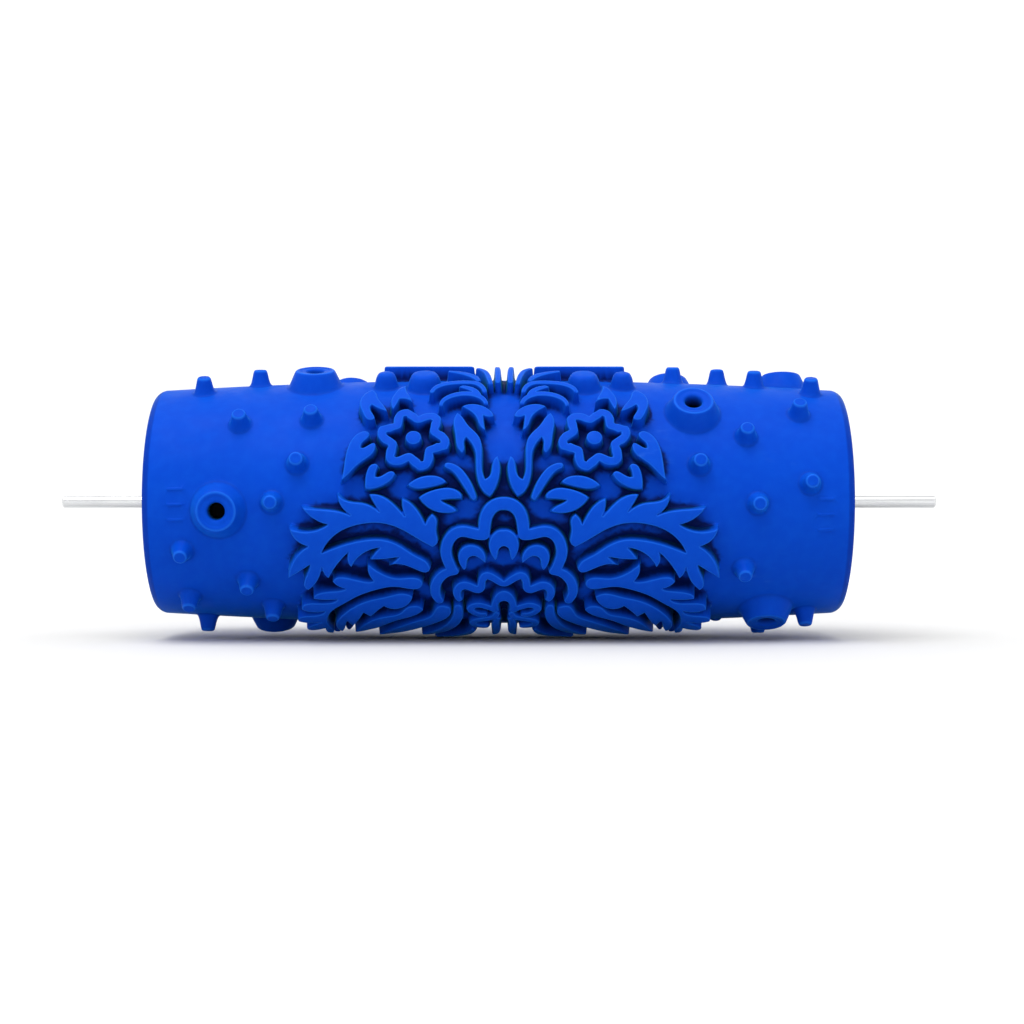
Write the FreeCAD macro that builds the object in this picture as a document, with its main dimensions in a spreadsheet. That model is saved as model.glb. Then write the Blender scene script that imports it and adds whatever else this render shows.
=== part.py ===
import FreeCAD, Part
import math
import os

import Sketcher
from FreeCAD import Placement, Rotation, Vector
from FreeCAD import Base

# Textured pattern roller: a crowned rubber sleeve with a damask relief, small nubs, berries and hollow
# cups, pressed on a plastic core tube. Two moulded end plugs with nylon bushes let it turn on a
# bright steel axle, and a washer and an E-clip at each end keep the drum on the axle.
# Frame: +X along the axle, +Z up, the damask seen square on from -Y. Millimetres.

doc = FreeCAD.newDocument("pattern_roller")

# ---------------------------------------------------------------- driving dimensions
DIMENSIONS = [
    ("half_length", "89", "mid length to the end face of the sleeve (7 inch sleeve)"),
    ("sleeve_end_rad", "29.2", "plain rubber surface at the sleeve ends"),
    ("sleeve_mid_rad", "31.9", "plain rubber surface at mid length, crowned"),
    ("sleeve_bore_rad", "26", "sleeve bore, pressed on the core"),
    ("sleeve_chamfer", "0.8", "broken edge at the sleeve ends"),
    ("relief_rad", "35.6", "tops of the damask relief"),
    ("relief_root_rad", "29.6", "buried foot of the damask relief"),
    ("pattern_offset", "1.4", "mirror line of the damask from mid length"),
    ("nub_height", "4.2", "nub above the plain rubber"),
    ("nub_base_rad", "2.8", "nub where it leaves the rubber"),
    ("nub_top_rad", "1.5", "nub tip"),
    ("cup_height", "4.2", "cup above the plain rubber"),
    ("cup_base_rad", "6.7", "cup where it leaves the rubber"),
    ("cup_top_rad", "4.6", "cup rim"),
    ("berry_base_rad", "4.6", "berry at its root"),
    ("berry_top_rad", "3.0", "berry at its top"),
    ("berry_height", "3.8", "berry above the plain rubber"),
    ("small_berry_base_rad", "3.2", "small berry at its root"),
    ("small_berry_top_rad", "1.9", "small berry at its top"),
    ("small_berry_height", "3.8", "small berry above the plain rubber"),
    ("cup_hole_rad", "2.15", "blind hole in the cup"),
    ("cup_hole_depth", "5.2", "blind hole from the cup rim"),
    ("stud_sink", "1", "nubs and cups reach this far into the sleeve"),
    ("core_bore_rad", "24", "core tube bore, plug skirt pressed in"),
    ("flange_thick", "1.2", "plug flange over the core end"),
    ("skirt_bore_rad", "22", "inside of the plug skirt"),
    ("skirt_length", "16", "plug from its outer face to the skirt end"),
    ("web_recess", "7", "plug web below the outer face"),
    ("web_thick", "2.4", "plug web"),
    ("hub_rad", "6.5", "plug hub outside"),
    ("hub_face", "5", "outer face of the hub below the plug face"),
    ("hub_length", "15", "hub along the axle"),
    ("rib_thick", "1.8", "stiffening rib between hub and skirt"),
    ("rib_height", "5", "stiffening rib behind the web"),
    ("bush_rad", "3.5", "nylon bush, pressed in the hub"),
    ("bush_bore_rad", "1.65", "nylon bush bore, running on the axle"),
    ("bush_flange_rad", "4.8", "nylon bush flange"),
    ("bush_flange_thick", "1", "nylon bush flange"),
    ("axle_rad", "1.6", "steel axle"),
    ("axle_half", "115", "mid length to the axle tip"),
    ("axle_chamfer", "0.4", "axle tips"),
    ("end_play", "0.1", "axial play at each washer"),
    ("washer_rad", "3.6", "thrust washer outside"),
    ("washer_thick", "0.5", "thrust washer"),
    ("groove_rad", "1.15", "clip groove floor in the axle"),
    ("groove_width", "0.7", "clip groove in the axle"),
    ("clip_rad", "3", "E-clip outside"),
    ("clip_thick", "0.6", "E-clip"),
    ("clip_mouth", "2", "E-clip mouth"),
    ("clip_eye_rad", "0.5", "tool eyes of the E-clip"),
    ("clip_eye_aside", "1.86", "tool eyes either side of the axle"),
    ("clip_eye_above", "1.08", "tool eyes above the axle"),
]

sheet = doc.addObject("Spreadsheet::Sheet", "dimensions")
for row, (alias, value, note) in enumerate(DIMENSIONS, start=1):
    sheet.set(f"A{row}", alias)
    sheet.set(f"B{row}", value)
    sheet.set(f"C{row}", note)
    sheet.setAlias(f"B{row}", alias)
doc.recompute()


def dim(alias):
    """Value of one driving dimension."""
    return float(getattr(sheet, alias))


def cell(alias):
    """The same dimension as an expression term."""
    return f"<<dimensions>>.{alias}"


sheet.Label = "dimensions"


# ---------------------------------------------------------------- helpers
def origin_plane(body, role):
    """Base plane of a body by its role."""
    return next(item for item in body.Origin.OriginFeatures if item.Role == role)


def expression(term):
    """Replace every dimension name in an arithmetic term by its sheet reference."""
    names = {alias for alias, _, _ in DIMENSIONS}
    return " ".join(cell(word) if word in names else word for word in term.split())


def amount(term):
    """Numeric value of the same arithmetic term."""
    total = 0.0
    sign = 1.0
    for word in term.split():
        if word in "+-":
            sign = 1.0 if word == "+" else -1.0
        else:
            total += sign * (dim(word) if word[0].isalpha() else float(word))
    return total


def bind_point(sketch, line, end, along, radius):
    """Both coordinates of a sketch point follow their terms."""
    for kind, term in (("DistanceX", along), ("DistanceY", radius)):
        number = sketch.addConstraint(Sketcher.Constraint(kind, -1, 1, line, end, amount(term)))
        sketch.setExpression(f"Constraints[{number}]", expression(term))


def outline_sketch(sketch, profile, closed=True):
    """Polygon of (distance along X, radius) terms, every corner bound to the sheet."""
    corners = [Vector(amount(along), amount(radius), 0) for along, radius in profile]
    count = len(corners)
    sides = count if closed else count - 1
    for index in range(sides):
        sketch.addGeometry(Part.LineSegment(corners[index], corners[(index + 1) % count]), False)
    for index in range(sides if closed else sides - 1):
        sketch.addConstraint(Sketcher.Constraint("Coincident", index, 2, (index + 1) % count, 1))
    for index, (along, radius) in enumerate(profile):
        line, end = (index, 1) if index < sides else (index - 1, 2)
        bind_point(sketch, line, end, along, radius)


def turned_body(label, profile):
    """Body turned about X from a polygon of (distance along X, radius) terms."""
    body = doc.addObject("PartDesign::Body", label)
    body.Label = label
    sketch = body.newObject("Sketcher::SketchObject", f"{label}_profile")
    sketch.AttachmentSupport = (origin_plane(body, "XZ_Plane"), [""])
    sketch.MapMode = "FlatFace"
    outline_sketch(sketch, profile)
    turned = body.newObject("PartDesign::Revolution", f"{label}_turned")
    turned.Profile = sketch
    turned.ReferenceAxis = (sketch, ["H_Axis"])
    turned.Angle = 360.0
    return body


def pair(make, name):
    """The right-hand piece as drawn and the left-hand one turned end for end."""
    right = make(f"{name}_right")
    left = make(f"{name}_left")
    left.Placement = Placement(Vector(0, 0, 0), Rotation(Vector(0, 0, 1), 180))
    return right, left


pieces = []

# ---------------------------------------------------------------- axle, washers and clips
# Stations along X of the right-hand end, outwards from mid length.
HUB_FACE = "half_length - hub_face"
BUSH_FACE = HUB_FACE + " + bush_flange_thick"
WASHER_FACE = BUSH_FACE + " + end_play"
CLIP_FACE = WASHER_FACE + " + washer_thick"


def from_left_tip(station, side):
    """Distance of a station from the left tip of the axle."""
    if side > 0:
        return "axle_half + " + station
    swapped = {"+": "-", "-": "+"}
    return "axle_half - " + " ".join(swapped.get(word, word) for word in station.split())


GROOVE_END = CLIP_FACE + " + groove_width"
grooves = [
    (from_left_tip(GROOVE_END, -1), from_left_tip(CLIP_FACE, -1)),
    (from_left_tip(CLIP_FACE, 1), from_left_tip(GROOVE_END, 1)),
]
axle_profile = [("0", "0"), ("0", "axle_rad - axle_chamfer"), ("axle_chamfer", "axle_rad")]
for start, end in grooves:
    axle_profile += [(start, "axle_rad"), (start, "groove_rad"), (end, "groove_rad"), (end, "axle_rad")]
axle_profile += [
    ("axle_half + axle_half - axle_chamfer", "axle_rad"),
    ("axle_half + axle_half", "axle_rad - axle_chamfer"),
    ("axle_half + axle_half", "0"),
]
axle = turned_body("axle_rod", axle_profile)
axle.setExpression("Placement.Base.x", "-" + cell("axle_half"))
pieces.append(axle)


def thrust_washer(label):
    """Plain steel washer between the bush flange and the clip."""
    return turned_body(label, [
        (WASHER_FACE, "axle_rad"), (CLIP_FACE, "axle_rad"),
        (CLIP_FACE, "washer_rad"), (WASHER_FACE, "washer_rad"),
    ])


pieces += pair(thrust_washer, "thrust_washer")


def primitive(kind, label, place, **sizes):
    """Part primitive with every size bound to the sheet."""
    item = doc.addObject(kind, label)
    item.Label = label
    item.Placement = place
    for size, term in sizes.items():
        item.setExpression(size, expression(term))
    return item


def e_clip(label):
    """Spring clip: a disc with a throat, a mouth and two tool eyes."""
    face = amount(CLIP_FACE)
    along = Rotation(Vector(0, 0, 1), Vector(1, 0, 0))
    disc = primitive("Part::Cylinder", f"{label}_disc", Placement(Vector(face, 0, 0), along),
                     Radius="clip_rad", Height="clip_thick")
    cutters = [primitive("Part::Cylinder", f"{label}_throat", Placement(Vector(face, 0, 0), along),
                         Radius="groove_rad", Height="clip_thick")]
    mouth = primitive("Part::Box", f"{label}_mouth",
                      Placement(Vector(face, -dim("clip_mouth") / 2, -dim("clip_rad")), Rotation()),
                      Length="clip_thick", Width="clip_mouth", Height="clip_rad")
    cutters.append(mouth)
    for side in (-1, 1):
        spot = Vector(face, side * dim("clip_eye_aside"), dim("clip_eye_above"))
        cutters.append(primitive("Part::Cylinder", f"{label}_eye_{'front' if side < 0 else 'back'}",
                                 Placement(spot, along), Radius="clip_eye_rad", Height="clip_thick"))
    tool = doc.addObject("Part::MultiFuse", f"{label}_cutters")
    tool.Shapes = cutters
    clip = doc.addObject("Part::Cut", label)
    clip.Label = label
    clip.Base = disc
    clip.Tool = tool
    return clip


pieces += pair(e_clip, "retaining_clip")


# ---------------------------------------------------------------- core tube, end plugs and bushes
core = turned_body("core_tube", [
    ("0", "core_bore_rad"), ("half_length + half_length - flange_thick - flange_thick", "core_bore_rad"),
    ("half_length + half_length - flange_thick - flange_thick", "sleeve_bore_rad"), ("0", "sleeve_bore_rad"),
])
core.setExpression("Placement.Base.x", f"{cell('flange_thick')} - {cell('half_length')}")
pieces.append(core)


def end_plug(label):
    """Flanged cup with a recessed web, a hub and six ribs behind the web."""
    web_face = "half_length - web_recess"
    web_back = web_face + " - web_thick"
    skirt_end = "half_length - skirt_length"
    hub_end = HUB_FACE + " - hub_length"
    plug = turned_body(label, [
        (HUB_FACE, "bush_rad"), (HUB_FACE, "hub_rad"),
        (web_face, "hub_rad"), (web_face, "skirt_bore_rad"),
        ("half_length", "skirt_bore_rad"), ("half_length", "sleeve_bore_rad"),
        ("half_length - flange_thick", "sleeve_bore_rad"), ("half_length - flange_thick", "core_bore_rad"),
        (skirt_end, "core_bore_rad"), (skirt_end, "skirt_bore_rad"),
        (web_back, "skirt_bore_rad"), (web_back, "hub_rad"),
        (hub_end, "hub_rad"), (hub_end, "bush_rad"),
    ])
    sketch = plug.newObject("Sketcher::SketchObject", f"{label}_rib")
    sketch.AttachmentSupport = (origin_plane(plug, "XY_Plane"), [""])
    sketch.MapMode = "FlatFace"
    corners = [
        (web_back + " - rib_height", "hub_rad - 0.4"), (web_back, "hub_rad - 0.4"),
        (web_back, "skirt_bore_rad + 0.4"), (web_back + " - rib_height", "skirt_bore_rad + 0.4"),
    ]
    outline_sketch(sketch, corners)
    rib = plug.newObject("PartDesign::Pad", f"{label}_rib_pad")
    rib.Profile = sketch
    rib.Midplane = True
    rib.setExpression("Length", cell("rib_thick"))
    doc.recompute()
    ribs = plug.newObject("PartDesign::PolarPattern", f"{label}_ribs")
    ribs.Originals = [rib]
    ribs.Axis = (sketch, ["H_Axis"])
    ribs.Angle = 360.0
    ribs.Occurrences = 6
    plug.Tip = ribs
    return plug


pieces += pair(end_plug, "end_plug")


def bush(label):
    """Nylon bush with its flange on the hub face."""
    inner_end = HUB_FACE + " - hub_length"
    return turned_body(label, [
        (inner_end, "bush_bore_rad"), (BUSH_FACE, "bush_bore_rad"), (BUSH_FACE, "bush_flange_rad"),
        (HUB_FACE, "bush_flange_rad"), (HUB_FACE, "bush_rad"), (inner_end, "bush_rad"),
    ])


pieces += pair(bush, "bush")

# ---------------------------------------------------------------- rubber sleeve
blank = doc.addObject("PartDesign::Body", "sleeve_blank")
blank_sketch = blank.newObject("Sketcher::SketchObject", "sleeve_blank_profile")
blank_sketch.AttachmentSupport = (origin_plane(blank, "XZ_Plane"), [""])
blank_sketch.MapMode = "FlatFace"
LENGTH = "half_length + half_length"
blank_corners = [
    ("sleeve_chamfer", "sleeve_end_rad"), ("0", "sleeve_end_rad - sleeve_chamfer"), ("0", "sleeve_bore_rad"),
    (LENGTH, "sleeve_bore_rad"), (LENGTH, "sleeve_end_rad - sleeve_chamfer"),
    (LENGTH + " - sleeve_chamfer", "sleeve_end_rad"),
]
outline_sketch(blank_sketch, blank_corners, closed=False)
crown_top = Vector(dim("half_length"), dim("sleeve_mid_rad"), 0)
ends = [Vector(amount(along), amount(radius), 0) for along, radius in (blank_corners[-1], blank_corners[0])]
arc = blank_sketch.addGeometry(Part.Arc(ends[0], crown_top, ends[1]), False)
top = blank_sketch.addGeometry(Part.Point(crown_top), True)
last = len(blank_corners) - 2
for other, other_end in ((last, 2), (0, 1)):
    gap = blank_sketch.getPoint(arc, 1) - blank_sketch.getPoint(other, other_end)
    matched = 1 if gap.Length < 0.01 else 2
    blank_sketch.addConstraint(Sketcher.Constraint("Coincident", arc, matched, other, other_end))
bind_point(blank_sketch, top, 1, "half_length", "sleeve_mid_rad")
blank_sketch.addConstraint(Sketcher.Constraint("PointOnObject", top, 1, arc))
blank_turned = blank.newObject("PartDesign::Revolution", "sleeve_blank_turned")
blank_turned.Profile = blank_sketch
blank_turned.ReferenceAxis = (blank_sketch, ["H_Axis"])
blank_turned.Angle = 360.0
# The seam of the turned surface sits in the free lane under the sleeve, clear of studs and relief.
blank.Placement = Placement(Vector(), Rotation(Vector(1, 0, 0), -184))
blank.setExpression("Placement.Base.x", "-" + cell("half_length"))

# Crown of the plain rubber: an arc through the ends and mid length.
crown_rise = dim("sleeve_mid_rad") - dim("sleeve_end_rad")
crown_half = dim("half_length") - dim("sleeve_chamfer")
crown_arc_rad = (crown_half ** 2 + crown_rise ** 2) / (2 * crown_rise)


def plain_radius(along):
    """Radius of the plain rubber at a station along X."""
    return dim("sleeve_mid_rad") - crown_arc_rad + math.sqrt(crown_arc_rad ** 2 - along ** 2)


# Nubs and cups: (X, angle about the axle from the front, upwards).
NUBS = [
    # front, left of the damask
    (-76, 70), (-62.3, 82), (-65, 39.5), (-47, 41), (-50, 17.5), (-56.2, -0.5), (-79, -24.5), (-63, -40.5),
    (-78.5, -53.5), (-76, -82), (-57.5, -59),
    # front, right of the damask
    (45.5, 85), (57.5, 92), (66.5, 80), (80.5, 70), (76, 47.5), (62, 32), (50, 17), (77.6, 8.5),
    (64.5, -1), (61.5, -33), (68, -87), (79, -70),
    # back, left and right
    (-79, 104), (-68, 122), (-57, 133), (-80, 146), (-62, 158), (-77, 178), (-58, 190), (-67, 211),
    (-80, 231), (-61, 234), (59, 117), (64, 131), (82, 124), (60, 152), (78, 160), (66, 178), (60, 196),
    (80, 199), (60, 216), (79, 236), (58.5, 245),
]
CUPS = [
    (-47.5, 74), (-69.6, -4.3), (49, 46), (68.5, -64.5), (-40, 118), (45.5, 112), (75, 100),
    (-73, 160), (-60, 253), (72, 146), (71, 216),
]
# Berries over the flowers of both repeats: (X, angle).
BERRIES = [(-19.0, 67.6), (21.8, 67.6), (-19.0, 117.4), (21.8, 117.4)]
SMALL_BERRIES = [(-29.0, 69.5), (31.8, 69.5), (-29.0, 115.5), (31.8, 115.5)]


def stud_place(along, angle, lift):
    """Placement with Z pointing out of the sleeve, lift above the plain rubber."""
    out = Vector(0, -math.cos(math.radians(angle)), math.sin(math.radians(angle)))
    foot = Vector(along, 0, 0) + out * (plain_radius(along) + lift)
    return Placement(foot, Rotation(Vector(0, 0, 1), out))


def stud(family, index, along, angle):
    """Tapered stud of one family, its root sunk in the sleeve."""
    return primitive("Part::Cone", f"{family}_{index:02d}", stud_place(along, angle, -dim("stud_sink")),
                     Radius1=f"{family}_base_rad", Radius2=f"{family}_top_rad",
                     Height=f"{family}_height + stud_sink")


studs = []
for family, spots in (("nub", NUBS), ("cup", CUPS), ("berry", BERRIES), ("small_berry", SMALL_BERRIES)):
    studs += [stud(family, index, along, angle) for index, (along, angle) in enumerate(spots, start=1)]
holes = []
for index, (along, angle) in enumerate(CUPS, start=1):
    bottom = dim("cup_height") - dim("cup_hole_depth")
    holes.append(primitive("Part::Cylinder", f"cup_hole_{index:02d}", stud_place(along, angle, bottom),
                           Radius="cup_hole_rad", Height="cup_hole_depth + 1"))

# ---------------------------------------------------------------- damask relief
# Left half of one repeat, flattened at the relief tops: x from the mirror line, s round the sleeve.
# The repeat fills half the way round, so it appears twice, crest to crest with a narrow lane between.
# strokes: (start, middle, end width), centreline
STROKES = [
    # palmette: crown, shoulder, lower lobe
    ((3.3, 2.9, 2.9), [(0, -0.6), (-2.5, -1.3), (-4.0, -3.1), (-4.7, -5.8), (-4.9, -8.4)]),
    ((2.9, 2.9, 2.8), [(-4.9, -8.4), (-7.9, -8.0), (-10.3, -7.6), (-12.5, -8.5), (-13.9, -10.7),
     (-14.3, -13.2), (-13.7, -15.7), (-12.8, -18.0)]),
    ((2.4, 2.7, 2.3), [(-12.3, -18.3), (-15.0, -19.3), (-16.7, -21.6), (-17.2, -24.5), (-16.2, -27.8)]),
    # small flower: petals
    ((2.0, 2.0, 1.8), [(-2.2, -31.4), (-4.5, -30.2), (-6.9, -29.6), (-8.5, -30.8), (-7.8, -32.5),
     (-5.0, -33.6)]),
    ((1.8, 2.0, 1.6), [(-1.9, -33.2), (-3.6, -35.4), (-6.2, -36.2), (-8.0, -37.6), (-7.2, -39.4),
     (-4.6, -40.2)]),
    ((1.6, 2.0, 1.2), [(-1.6, -35.8), (-2.2, -39.4), (-1.9, -43.0), (-2.6, -46.8)]),
    # stems under the flower
    ((2.2, 3.0, 1.6), [(-11.6, -30.4), (-11.8, -34.6), (-13.4, -39.2), (-16.6, -43.6), (-20.5, -47.0)]),
    ((1.4, 2.2, 1.2), [(-8.0, -42.6), (-9.6, -46.4), (-13.0, -49.6), (-17.5, -51.6)]),
    # curl beside the long leaf, above the palmette
    ((1.6, 2.3, 1.5), [(-13.9, 8.9), (-11.8, 7.9), (-9.9, 5.6), (-8.4, 3.0), (-7.4, 0.9)]),
    # arcs over the flower
    ((1.0, 1.9, 1.2), [(-15.8, 26.5), (-15.0, 28.7), (-13.0, 30.3), (-10.4, 31.1), (-7.7, 30.8),
     (-5.7, 29.5), (-4.5, 27.2)]),
    ((1.2, 1.9, 1.2), [(-18.2, 31.9), (-17.2, 34.0), (-15.1, 35.6), (-12.4, 36.4), (-9.4, 36.6),
     (-7.2, 36.1), (-5.7, 34.5), (-4.9, 31.9)]),
    ((1.2, 1.8, 1.2), [(-10.8, 34.3), (-9.0, 33.6), (-7.4, 32.4), (-6.3, 30.6)]),
    ((1.4, 2.1, 1.4), [(-13.8, 44.2), (-11.2, 43.0), (-8.6, 41.0), (-6.6, 37.8)]),
    # fan above
    ((1.4, 1.6, 1.4), [(-1.6, 36.8), (-1.6, 43.0), (-1.8, 50.0)]),
    ((1.2, 1.5, 1.2), [(-3.4, 35.8), (-4.0, 40.0), (-4.9, 44.2), (-6.8, 48.0)]),
]
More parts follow.
